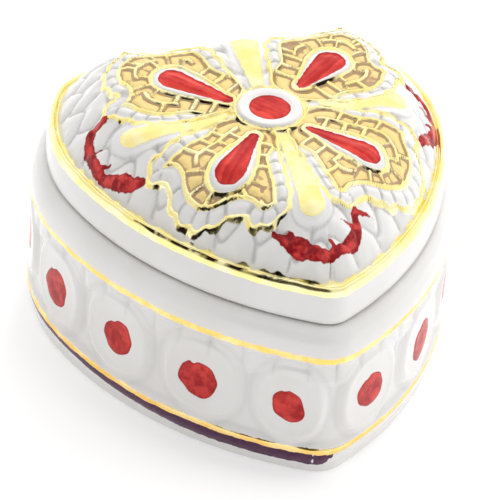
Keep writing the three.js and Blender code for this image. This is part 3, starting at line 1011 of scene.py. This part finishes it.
@dataclass
class LidCasting(Casting):
    """Domed lid: crown, ridge, side, seat, locating flange and hollow. Lengths in mm.

    The gilding carries a painted dark reflection, near-black, where the crown faces the given front way
    more than the given slope.
    """

    seat: float = 34.4
    side_height: float = 7.4
    edge_inset: float = 2.9
    taper: float = 0.4
    ridge_width: float = 1.5
    ridge_rise: float = 0.8
    wall: float = 3.6
    flange_outer: float = 7.1
    flange_wall: float = 2.6
    flange_depth: float = 4.5
    edge: float = 0.5
    # Front way and slope limit of the painted dark reflection on the crown's gilding.
    dark_reflection_way: tuple[float, float, float] = (-0.47, -0.86, -0.2)
    burnt_slope: float = 0.72
    crown_rings: int = 120
    hollow_rings: int = 14

    def build(self, dome: DomeForm, flower: LidFlower, finish: "PorcelainFinish") -> bpy.types.Object:
        """Mould the lid ring by ring, from the hollow's crown round the flange to the flower.

        Args:
            dome: Shape of the dome.
            flower: Moulded and painted crown.
            finish: Decorated glaze.

        Returns:
            The finished casting.
        """
        middle = np.array((0.0, dome.centre_shift))
        rim = self.seat + self.side_height
        rim_inset = self.edge_inset + self.taper
        dome_inset = rim_inset + self.ridge_width
        flange_inner = self.flange_outer + self.flange_wall
        rings: list[Array] = []
        marks: list[dict[Paint, Array]] = []

        hollow_edge = self.outline.ring(flange_inner + 1.2)
        shares = np.linspace(0.0, 1.0, self.hollow_rings)[:, None, None]
        hollow = middle + (hollow_edge - middle) * shares
        way, _ = self._way_in(hollow, dome_inset, dome)
        half_width = self.outline.width / 2
        hollow_z = rim - self.wall + dome.height(hollow[..., 0], hollow[..., 1], way, half_width)
        for plan, z in zip(hollow, hollow_z):
            rings.append(np.column_stack([plan, z]))
            marks.append(plain_marks(z))
        for inset, z in self._flange(flange_inner, float(hollow_z[-1].min())):
            plan = self.outline.ring(inset)
            rings.append(np.column_stack([plan, np.full(len(plan), z)]))
            marks.append(plain_marks(plan[:, 0]))
        self._side(rings, marks, rim)
        self._ridge(rings, marks, rim, rim_inset)

        edge = self.outline.ring(dome_inset)
        shares = np.linspace(1.0, 0.0, self.crown_rings)[:, None, None]
        crown = middle + (edge - middle) * shares
        x, y = crown[..., 0], crown[..., 1]
        way, along = self._way_in(crown, dome_inset, dome)
        relief = Relief.plain(x)
        flower.apply(x, y, way, along, relief)
        fade = smooth_step(way, 0.0, 0.7)
        z = rim + dome.height(x, y, way, half_width) + relief.height * fade
        # Painted dark reflection on the crown's steep front slopes.
        self._paint_dark_reflection(crown, z, relief)
        relief.add(Paint.GILDING, 0.35 - way + 0.25 * hand_wobble(x, y, 4.5, 1.2))
        for level in range(self.crown_rings):
            rings.append(np.column_stack([crown[level], z[level]]))
            marks.append({paint: values[level] for paint, values in relief.marks.items()})
        piece = self.lay(rings, marks)
        self.finish(piece, finish)
        return piece

    def _way_in(self, plan: Array, inset: float, dome: DomeForm) -> tuple[Array, Array]:
        """Distance inside the dome's edge, with the crease of the tip eased, and the way round the edge.

        Args:
            plan: Places in plan.
            inset: Inset of the dome's edge.
            dome: Shape of the dome.

        Returns:
            The distance and the way round.
        """
        ring = self.outline.ring(inset)[::2]
        half = len(ring) // 2
        x, y = plan[..., 0], plan[..., 1]
        right, along_right, _ = way_to_line(x, y, ring[: half + 1], False)
        left, along_left, _ = way_to_line(x, y, ring[half:], False)
        whole = float(np.hypot(*np.diff(ring, axis=0).T).sum())
        along = np.where(right < left, along_right, whole / 2 + along_left)
        blend = dome.blend * np.clip((6.0 - y) / 22.0, 0.0, 1.0) + 1e-6
        near = np.maximum(blend - np.abs(right - left), 0) / blend
        eased = np.minimum(right, left) - near * near * blend / 4
        return np.maximum(eased, 0.0), along

    def _paint_dark_reflection(self, plan: Array, z: Array, relief: Relief) -> None:
        """Mark the steep front slopes with a painted dark reflection, near-black on the gilding.

        Args:
            plan: Places in plan, ring by ring.
            z: Heights of the places.
            relief: What the mark is added to.
        """
        place = np.concatenate([plan, z[..., None]], 2)
        down, round_ = np.gradient(place, axis=0), np.gradient(place, axis=1)
        normal = np.cross(down, round_)
        normal /= np.maximum(np.linalg.norm(normal, axis=2, keepdims=True), 1e-9)
        normal *= np.sign(normal[..., 2:3])
        front = normal @ np.array(self.dark_reflection_way)
        relief.add(Paint.DARK_REFLECTION, (front - self.burnt_slope) * 1.2)

    def _flange(self, inner: float, hollow_z: float) -> list[tuple[float, float]]:
        """Locating flange and flat seat, as inset and height."""
        foot = self.seat - self.flange_depth
        rows = [(inner + 0.4, hollow_z - 0.8), (inner, hollow_z - 1.8), (inner, foot + 2.2)]
        rows += [(inner, foot + self.edge), (inner - 0.15, foot + 0.15), (inner - self.edge, foot)]
        rows += [(self.flange_outer + self.edge, foot), (self.flange_outer + 0.15, foot + 0.15)]
        rows += [(self.flange_outer, foot + self.edge), (self.flange_outer, self.seat - 0.4)]
        rows += [(self.flange_outer - 0.1, self.seat), (self.edge_inset + 1.6, self.seat)]
        return rows

    def _side(self, rings: list[Array], marks: list[dict], rim: float) -> None:
        """Plain side of the lid, with its lower edge rounded over."""
        rows = [(self.edge_inset + 0.8, self.seat + 0.02), (self.edge_inset + 0.35, self.seat + 0.2)]
        rows += [(self.edge_inset + 0.08, self.seat + 0.6), (self.edge_inset, self.seat + 1.2)]
        for k in range(1, 12):
            share = k / 12
            inset = self.edge_inset + self.taper * share**2
            rows.append((inset, self.seat + 1.2 + (rim - self.seat - 1.9) * share))
        for inset, z in rows:
            plan = self.outline.ring(inset)
            level = np.full(len(plan), z)
            relief = Relief.plain(level)
            way = self.outline.shares() * self.outline.length()
            self._gild_ridge(way, level - rim, relief)
            rings.append(np.column_stack([plan, level]))
            marks.append(relief.marks)

    def _ridge(self, rings: list[Array], marks: list[dict], rim: float, rim_inset: float) -> None:
        """Gilded ridge on the lid's edge, a little uneven as it was brushed."""
        way = self.outline.shares() * self.outline.length()
        steps = 12
        for k in range(steps):
            share = k / steps
            inset = rim_inset + self.ridge_width * share
            uneven = 1 + 0.25 * hand_wobble(way, way * 0 + share * 3, 13.0, 0.9)
            lift = self.ridge_rise * math.sin(math.pi * share) ** 0.7 * uneven
            drop = -0.7 * (1 - share) ** 6
            level = rim + lift + drop
            plan = self.outline.ring(inset)
            relief = Relief.plain(level)
            self._gild_ridge(way, np.full(len(way), share * self.ridge_width), relief)
            # Painted dark reflection: a near-black line along the ridge at the front.
            front = smooth_step(-np.abs(way / way[-1] - 0.9), -0.14, -0.02)
            line = 0.26 - abs(share - 0.3) * self.ridge_width + 0.1 * hand_wobble(way, way * 0, 9.0, 2.0)
            painted_dark_reflection = line * front + 0.2 * (front - 1)
            relief.marks[Paint.DARK_REFLECTION] = np.where(front > 0.02, painted_dark_reflection, FAR_OFF)
            rings.append(np.column_stack([plan, level]))
            marks.append(relief.marks)

    def _gild_ridge(self, way: Array, offset: Array, relief: Relief) -> None:
        """Gild the ridge and what runs over its outer side, from an offset across it."""
        ragged = 0.35 * hand_wobble(way, offset, 6.5, 1.4) + 0.22 * hand_wobble(way, offset, 2.2, 3.4)
        relief.add(Paint.GILDING, np.minimum(offset + 0.8 + ragged, 3.0 - offset))


class ShaderNodes:
    """Small helper that adds and joins shader nodes in one tree."""

    def __init__(self, tree: bpy.types.NodeTree) -> None:
        """Keep the tree."""
        self.tree = tree

    def add(self, kind: str, **settings: object) -> bpy.types.Node:
        """Add a node and set its options.

        Args:
            kind: The node's type name.
            settings: Options set on the node.

        Returns:
            The new node.
        """
        node = self.tree.nodes.new(kind)
        for name, value in settings.items():
            setattr(node, name, value)
        return node

    def join(self, source: Socket, target: Socket) -> None:
        """Link an output to an input."""
        self.tree.links.new(source, target)

    def feed(self, target: Socket, value: object) -> None:
        """Link or set an input, whichever the value is."""
        if isinstance(value, bpy.types.NodeSocket):
            self.join(value, target)
        else:
            target.default_value = value

    def math(self, operation: str, first: object, second: object = 0.0) -> Socket:
        """Sum, product or other result of two values."""
        node = self.add("ShaderNodeMath", operation=operation)
        self.feed(node.inputs[0], first)
        self.feed(node.inputs[1], second)
        return node.outputs[0]

    def ease(self, value: Socket, low: float, high: float, start: float = 0.0, end: float = 1.0) -> Socket:
        """Smooth step of a value between two limits."""
        node = self.add("ShaderNodeMapRange", interpolation_type="SMOOTHSTEP")
        self.feed(node.inputs["Value"], value)
        for name, number in (("From Min", low), ("From Max", high), ("To Min", start), ("To Max", end)):
            node.inputs[name].default_value = number
        return node.outputs[0]

    def mix(self, share: object, first: object, second: object) -> Socket:
        """Mix of two colours."""
        node = self.add("ShaderNodeMix", data_type="RGBA", clamp_factor=True)
        self.feed(node.inputs[0], share)
        self.feed(node.inputs[6], first)
        self.feed(node.inputs[7], second)
        return node.outputs[2]

    def noise(self, coordinates: Socket, scale: float, detail: float = 3.0, rough: float = 0.55) -> Socket:
        """Noise value at coordinates."""
        node = self.add("ShaderNodeTexNoise")
        self.join(coordinates, node.inputs["Vector"])
        node.inputs["Scale"].default_value = scale
        node.inputs["Detail"].default_value = detail
        node.inputs["Roughness"].default_value = rough
        return node.outputs["Fac"]

    def attribute(self, name: str) -> Socket:
        """Value of a mark stored on the casting."""
        node = self.add("ShaderNodeAttribute", attribute_name=name, attribute_type="GEOMETRY")
        return node.outputs["Fac"]


def make_group(
    name: str, inputs: list[tuple[str, str]], outputs: list[tuple[str, str]]
) -> bpy.types.NodeTree:
    """Start a shader node group with named sockets.

    Args:
        name: The group's name.
        inputs: Names and socket types of its inputs.
        outputs: Names and socket types of its outputs.

    Returns:
        The new group.
    """
    group = bpy.data.node_groups.new(name, "ShaderNodeTree")
    for label, kind in inputs:
        group.interface.new_socket(name=label, in_out="INPUT", socket_type=kind)
    for label, kind in outputs:
        group.interface.new_socket(name=label, in_out="OUTPUT", socket_type=kind)
    return group


class HandPaintedEdge:
    """Node group that turns a signed distance into a mask with a slightly ragged brushed edge."""

    NAME = "hand painted edge"

    @classmethod
    def tree(cls) -> bpy.types.NodeTree:
        """Return the group, made once."""
        if cls.NAME in bpy.data.node_groups:
            return bpy.data.node_groups[cls.NAME]
        value = "NodeSocketFloat"
        inputs = [("Distance", value), ("Raggedness", value), ("Grain Size", value)]
        group = make_group(cls.NAME, inputs, [("Mask", value)])
        nodes = ShaderNodes(group)
        source = nodes.add("NodeGroupInput")
        sink = nodes.add("NodeGroupOutput")
        place = nodes.add("ShaderNodeTexCoord").outputs["Object"]
        noise = nodes.add("ShaderNodeTexNoise")
        nodes.join(place, noise.inputs["Vector"])
        nodes.join(source.outputs["Grain Size"], noise.inputs["Scale"])
        noise.inputs["Detail"].default_value = 2.0
        centred = nodes.math("SUBTRACT", noise.outputs["Fac"], 0.5)
        rough = nodes.math("MULTIPLY", centred, source.outputs["Raggedness"])
        edge = nodes.math("ADD", source.outputs["Distance"], rough)
        nodes.join(nodes.ease(edge, -0.07, 0.07), sink.inputs["Mask"])
        return group

    @classmethod
    def place(cls, nodes: ShaderNodes, distance: Socket, raggedness: float, grain: float) -> Socket:
        """Put the group in a material.

        Args:
            nodes: The material's nodes.
            distance: Signed distance to the mark, in mm.
            raggedness: How far the edge strays, in mm.
            grain: How fine the raggedness is.

        Returns:
            The mask.
        """
        node = nodes.add("ShaderNodeGroup")
        node.node_tree = cls.tree()
        nodes.join(distance, node.inputs["Distance"])
        node.inputs["Raggedness"].default_value = raggedness
        node.inputs["Grain Size"].default_value = grain
        return node.outputs["Mask"]


class BrushedColour:
    """Node group that varies a colour between thin and thick paint along brush strokes."""

    NAME = "brushed colour"

    @classmethod
    def tree(cls) -> bpy.types.NodeTree:
        """Return the group, made once."""
        if cls.NAME in bpy.data.node_groups:
            return bpy.data.node_groups[cls.NAME]
        value, colour = "NodeSocketFloat", "NodeSocketColor"
        inputs = [("Thin", colour), ("Thick", colour), ("Stroke Way", value), ("Fineness", value)]
        group = make_group(cls.NAME, inputs, [("Colour", colour), ("Thickness", value)])
        nodes = ShaderNodes(group)
        source = nodes.add("NodeGroupInput")
        sink = nodes.add("NodeGroupOutput")
        place = nodes.add("ShaderNodeTexCoord").outputs["Object"]
        cloud = nodes.noise(place, 170.0, 3.0, 0.6)
        streak = nodes.add("ShaderNodeTexNoise", noise_dimensions="1D")
        nodes.join(source.outputs["Fineness"], streak.inputs["Scale"])
        way = nodes.math("ADD", source.outputs["Stroke Way"], nodes.math("MULTIPLY", cloud, 2.2))
        nodes.join(way, streak.inputs["W"])
        streak.inputs["Detail"].default_value = 3.0
        streaks = nodes.math("MULTIPLY", streak.outputs["Fac"], 0.45)
        both = nodes.math("ADD", nodes.math("MULTIPLY", cloud, 0.55), streaks)
        thickness = nodes.ease(both, 0.36, 0.62)
        colour = nodes.mix(thickness, source.outputs["Thin"], source.outputs["Thick"])
        nodes.join(colour, sink.inputs["Colour"])
        nodes.join(thickness, sink.inputs["Thickness"])
        return group

    @classmethod
    def place(
        cls, nodes: ShaderNodes, thin: tuple, thick: tuple, way: Socket, fineness: float
    ) -> tuple[Socket, Socket]:
        """Put the group in a material.

        Args:
            nodes: The material's nodes.
            thin: Colour where the paint is thin.
            thick: Colour where the paint is thick.
            way: Way along the brush stroke, in mm.
            fineness: How many streaks there are.

        Returns:
            The colour, and how thick the paint is.
        """
        node = nodes.add("ShaderNodeGroup")
        node.node_tree = cls.tree()
        node.inputs["Thin"].default_value = (*thin, 1.0)
        node.inputs["Thick"].default_value = (*thick, 1.0)
        node.inputs["Fineness"].default_value = fineness
        nodes.join(way, node.inputs["Stroke Way"])
        return node.outputs["Colour"], node.outputs["Thickness"]


@dataclass(frozen=True)
class PorcelainFinish:
    """White glazed porcelain with gold lustre, red and plum enamel painted over the glaze."""

    name: str
    glaze: tuple[float, float, float] = (0.80, 0.785, 0.77)
    glaze_shade: tuple[float, float, float] = (0.76, 0.74, 0.72)
    # Grey of the painted shade in grooves and joints.
    groove: tuple[float, float, float] = (0.44, 0.43, 0.42)
    gold: tuple[float, float, float] = (1.0, 0.84, 0.32)
    gold_thin: tuple[float, float, float] = (1.0, 0.92, 0.52)
    leaf: tuple[float, float, float] = (0.91, 0.69, 0.28)
    # Brown of the cell seams, partly a painted line and partly painted shade in the creases.
    seam_and_shade: tuple[float, float, float] = (0.33, 0.19, 0.14)
    # Near-black of the painted dark reflection on the gilding.
    painted_dark_reflection: tuple[float, float, float] = (0.018, 0.010, 0.006)
    red_thin: tuple[float, float, float] = (0.78, 0.060, 0.042)
    red_thick: tuple[float, float, float] = (0.44, 0.012, 0.012)
    red_edge: tuple[float, float, float] = (0.24, 0.004, 0.006)
    red_pool: tuple[float, float, float] = (0.26, 0.008, 0.012)
    red_fleck: tuple[float, float, float] = (0.66, 0.060, 0.055)
    plum: tuple[float, float, float] = (0.065, 0.018, 0.055)
    plum_thin: tuple[float, float, float] = (0.11, 0.035, 0.08)
    glaze_gloss: float = 0.1
    gold_gloss: float = 0.13
    leaf_gloss: float = 0.34
    enamel_gloss: float = 0.2
    gold_metal: float = 0.95
    leaf_metal: float = 0.45

    def material(self) -> bpy.types.Material:
        """Build the finish.

        Returns:
            The node material.
        """
        made = bpy.data.materials.new(self.name)
        made.use_nodes = True
        nodes = ShaderNodes(made.node_tree)
        shader = made.node_tree.nodes["Principled BSDF"]
        place = nodes.add("ShaderNodeTexCoord").outputs["Object"]
        way = nodes.attribute(Paint.STROKE.value)

        gilding = HandPaintedEdge.place(nodes, nodes.attribute(Paint.GILDING.value), 0.22, 900.0)
        leaf = HandPaintedEdge.place(nodes, nodes.attribute(Paint.LEAF.value), 0.1, 900.0)
        seam_and_shade = HandPaintedEdge.place(nodes, nodes.attribute(Paint.SEAM.value), 0.5, 700.0)
        enamel = HandPaintedEdge.place(nodes, nodes.attribute(Paint.ENAMEL.value), 0.25, 500.0)
        plum = HandPaintedEdge.place(nodes, nodes.attribute(Paint.PLUM.value), 0.7, 450.0)

        cloud = nodes.ease(nodes.noise(place, 60.0, 4.0), 0.35, 0.7)
        glaze = nodes.mix(cloud, self._rgba(self.glaze), self._rgba(self.glaze_shade))
        # Painted shade: glaze mixed towards grey where the groove-shade mark lies.
        hollow = nodes.ease(nodes.attribute(Paint.GROOVE_SHADE.value), -0.3, 0.3, 0.0, 0.8)
        glaze = nodes.mix(hollow, glaze, self._rgba(self.groove))
        gold_patch = nodes.ease(nodes.noise(place, 210.0, 3.0), 0.38, 0.66)
        gold = nodes.mix(gold_patch, self._rgba(self.gold), self._rgba(self.gold_thin))
        gold = nodes.mix(leaf, gold, self._rgba(self.leaf))
        # Cell seams: partly painted brown, partly painted shade at the cords' feet.
        seam_and_shade_share = nodes.math("MULTIPLY", seam_and_shade, 0.74)
        gold = nodes.mix(seam_and_shade_share, gold, self._rgba(self.seam_and_shade))
        # Painted dark reflection: gold turned near-black, in patches, where its mark lies.
        patchy = nodes.ease(nodes.noise(place, 260.0, 3.0), 0.40, 0.56)
        dark_reflection_share = nodes.math("MULTIPLY", nodes.ease(nodes.attribute(Paint.DARK_REFLECTION.value), 0.0, 0.08), patchy)
        gold = nodes.mix(dark_reflection_share, gold, self._rgba(self.painted_dark_reflection))
        red, red_thickness = BrushedColour.place(nodes, self.red_thin, self.red_thick, way, 0.9)
        fleck = nodes.ease(nodes.noise(place, 420.0, 3.0), 0.40, 0.62)
        thick = nodes.mix(fleck, self._rgba(self.red_pool), self._rgba(self.red_fleck))
        deep = nodes.ease(nodes.attribute(Paint.DEEP.value), 0.0, 1.0)
        red = nodes.mix(deep, red, thick)
        rim = nodes.ease(nodes.attribute(Paint.ENAMEL.value), 0.05, 0.5, 0.6, 0.0)
        red = nodes.mix(rim, red, self._rgba(self.red_edge))
        dark, _ = BrushedColour.place(nodes, self.plum_thin, self.plum, way, 1.6)

        colour = nodes.mix(plum, glaze, dark)
        colour = nodes.mix(gilding, colour, gold)
        colour = nodes.mix(enamel, colour, red)
        nodes.join(colour, shader.inputs["Base Color"])

        bare = nodes.math("SUBTRACT", 1.0, enamel)
        metal = nodes.math("MULTIPLY", leaf, self.leaf_metal - self.gold_metal)
        metal = nodes.math("ADD", metal, self.gold_metal)
        gilt = nodes.math("MULTIPLY", gilding, bare)
        metal = nodes.math("MULTIPLY", metal, gilt)
        nodes.join(metal, shader.inputs["Metallic"])

        grain = nodes.noise(place, 1400.0, 3.0, 0.6)
        leaf_rough = nodes.math("MULTIPLY", leaf, self.leaf_gloss - self.gold_gloss)
        gold_rough = nodes.math("ADD", leaf_rough, self.gold_gloss)
        gold_rough = nodes.math("ADD", gold_rough, nodes.math("MULTIPLY", grain, 0.08))
        rough = nodes.math("MULTIPLY", nodes.math("SUBTRACT", gold_rough, self.glaze_gloss), gilt)
        rough = nodes.math("ADD", rough, self.glaze_gloss)
        red_rough = nodes.math("MULTIPLY", enamel, self.enamel_gloss - self.glaze_gloss)
        nodes.join(nodes.math("ADD", rough, red_rough), shader.inputs["Roughness"])

        swell = nodes.math("MULTIPLY", nodes.noise(place, 120.0, 2.0), 0.5)
        fine = nodes.noise(place, 2100.0, 2.0, 0.7)
        leaf_grain = nodes.math("MULTIPLY", nodes.math("MULTIPLY", fine, leaf), 0.22)
        paint_lift = nodes.math("MULTIPLY", nodes.math("MULTIPLY", red_thickness, enamel), 0.1)
        lift = nodes.math("ADD", nodes.math("ADD", swell, leaf_grain), paint_lift)
        bump = nodes.add("ShaderNodeBump")
        bump.inputs["Strength"].default_value = 0.35
        bump.inputs["Distance"].default_value = 0.0004
        nodes.join(lift, bump.inputs["Height"])
        nodes.join(bump.outputs["Normal"], shader.inputs["Normal"])
        painted = nodes.math("MAXIMUM", enamel, plum)
        nodes.join(nodes.ease(painted, 0.0, 1.0, 0.5, 0.16), shader.inputs["Specular IOR Level"])
        shader.inputs["IOR"].default_value = 1.52
        shader.inputs["Coat Weight"].default_value = 0.0
        return made

    @staticmethod
    def _rgba(colour: tuple[float, float, float]) -> tuple[float, float, float, float]:
        """Colour with full cover."""
        return (*colour, 1.0)


def direction(azimuth: float, elevation: float) -> tuple[float, float, float]:
    """Unit direction from an azimuth, turned from the front, and an elevation, in degrees."""
    turn, rise = math.radians(azimuth), math.radians(elevation)
    return (math.sin(turn) * math.cos(rise), -math.cos(turn) * math.cos(rise), math.sin(rise))


@dataclass
class Studio:
    """Pale floor, soft light and the camera. Lengths in metres."""

    floor_size: float = 6.0
    front_sky: float = 0.84
    back_sky: float = 1.15
    floor_glow: float = 0.19
    bright_way: tuple[float, float, float] = (0.35, 0.7, 0.62)
    dark_strength: float = 0.02
    dark_azimuth: float = -34.0
    dark_elevation: float = 16.0
    camera_azimuth: float = -20.33
    camera_elevation: float = 36.18
    camera_roll: float = 4.76
    camera_distance: float = 0.70323
    lens: float = 252.0
    aim: tuple[float, float, float] = (-0.00179, 0.0035, 0.020)

    def build(self, object_box: tuple[Vector, Vector]) -> None:
        """Set the floor, the light and the camera.

        Args:
            object_box: Lowest and highest corner of the object.
        """
        self._floor(object_box[0].z)
        self._sky()
        self._lamp("key", (0.35, 0.55, 0.75), 0.35, 3.2)
        self._lamp("fill", (0.85, -0.1, 0.6), 0.6, 1.1)
        self._camera()
        settings = bpy.context.scene.view_settings
        settings.view_transform = "Standard"

    def _floor(self, height: float) -> None:
        """Wide pale table top."""
        bpy.ops.object.select_all(action="DESELECT")
        bpy.ops.mesh.primitive_plane_add(size=self.floor_size, location=(0, 0, height))
        floor = bpy.context.object
        floor.name = "table_top"
        made = bpy.data.materials.new("pale table")
        made.use_nodes = True
        nodes = ShaderNodes(made.node_tree)
        shader = made.node_tree.nodes["Principled BSDF"]
        place = nodes.add("ShaderNodeTexCoord").outputs["Object"]
        pale = nodes.mix(nodes.noise(place, 3.0), (0.93, 0.93, 0.93, 1), (0.96, 0.96, 0.96, 1))
        nodes.join(pale, shader.inputs["Base Color"])
        shader.inputs["Emission Color"].default_value = (1.0, 1.0, 1.0, 1.0)
        shader.inputs["Emission Strength"].default_value = self.floor_glow
        shader.inputs["Roughness"].default_value = 0.7
        shader.inputs["Specular IOR Level"].default_value = 0.1
        floor.data.materials.append(made)

    def _sky(self) -> None:
        """White studio all round, with a dark stand low at the front that gilding mirrors."""
        world = bpy.data.worlds.new("studio")
        bpy.context.scene.world = world
        world.use_nodes = True
        nodes = ShaderNodes(world.node_tree)
        background = world.node_tree.nodes["Background"]
        towards = direction(self.dark_azimuth, self.dark_elevation)
        way = nodes.add("ShaderNodeTexCoord").outputs["Generated"]
        level = nodes.add("ShaderNodeVectorMath", operation="DOT_PRODUCT")
        nodes.join(way, level.inputs[0])
        level.inputs[1].default_value = towards
        dark = nodes.ease(level.outputs["Value"], 0.84, 0.95)
        behind = nodes.add("ShaderNodeVectorMath", operation="DOT_PRODUCT")
        nodes.join(way, behind.inputs[0])
        behind.inputs[1].default_value = self.bright_way
        front, back, dim = self.front_sky, self.back_sky, self.dark_strength
        bright = nodes.mix(
            nodes.ease(behind.outputs["Value"], -0.1, 0.8), (front, front, front, 1), (back, back, back, 1)
        )
        colour = nodes.mix(dark, bright, (dim, dim, dim, 1))
        nodes.join(colour, background.inputs["Color"])
        background.inputs["Strength"].default_value = 1.0

    def _lamp(self, name: str, place: tuple[float, float, float], size: float, power: float) -> None:
        """Square softbox aimed at the box."""
        data = bpy.data.lights.new(name, "AREA")
        data.energy = power
        data.size = size
        lamp = bpy.data.objects.new(name, data)
        lamp.location = place
        lamp.rotation_euler = (Vector(self.aim) - Vector(place)).to_track_quat("-Z", "Y").to_euler()
        lamp.visible_glossy = False
        bpy.context.scene.collection.objects.link(lamp)

    def _camera(self) -> None:
        """Camera to the front left, above the box and a little rolled."""
        azimuth, roll = math.radians(self.camera_azimuth), math.radians(self.camera_roll)
        back = Vector(direction(self.camera_azimuth, self.camera_elevation))
        right = Vector((math.cos(azimuth), math.sin(azimuth), 0))
        up = back.cross(right)
        turned_right = right * math.cos(roll) + up * math.sin(roll)
        turned_up = up * math.cos(roll) - right * math.sin(roll)
        data = bpy.data.cameras.new("camera")
        data.lens = self.lens
        data.sensor_width = 36.0
        data.clip_start = 0.01
        camera = bpy.data.objects.new("camera", data)
        turn = Matrix((turned_right, turned_up, back)).transposed()
        stand = Vector(self.aim) + back * self.camera_distance
        camera.matrix_world = Matrix.Translation(stand) @ turn.to_4x4()
        bpy.context.scene.collection.objects.link(camera)
        bpy.context.scene.camera = camera


def main(cad_box: tuple[Vector, Vector]) -> None:
    """Build the box, the lid and the studio.

    Args:
        cad_box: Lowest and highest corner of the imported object.
    """
    logging.basicConfig(level=logging.INFO, format="%(name)s: %(message)s")
    box_low, box_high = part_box("box_body")
    lid_low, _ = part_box("lid")
    outline = HeartOutline()
    box = BoxCasting(outline, "box_casting", Body.BOX, "box_body", top=box_high.z / MM)
    seat = lid_low.z / MM + LidCasting.flange_depth
    lid = LidCasting(outline, "lid_casting", Body.LID, "lid", seat=seat)
    amber = {"gold": (0.98, 0.62, 0.17), "gold_thin": (1.0, 0.76, 0.32)}
    box.build(WallDecoration(), PorcelainFinish("decorated porcelain of the box", **amber))
    lid.build(DomeForm(), LidFlower(), PorcelainFinish("decorated porcelain of the lid"))
    Studio().build(cad_box)


if __name__ == "__main__":
    main(CAD_BOX)
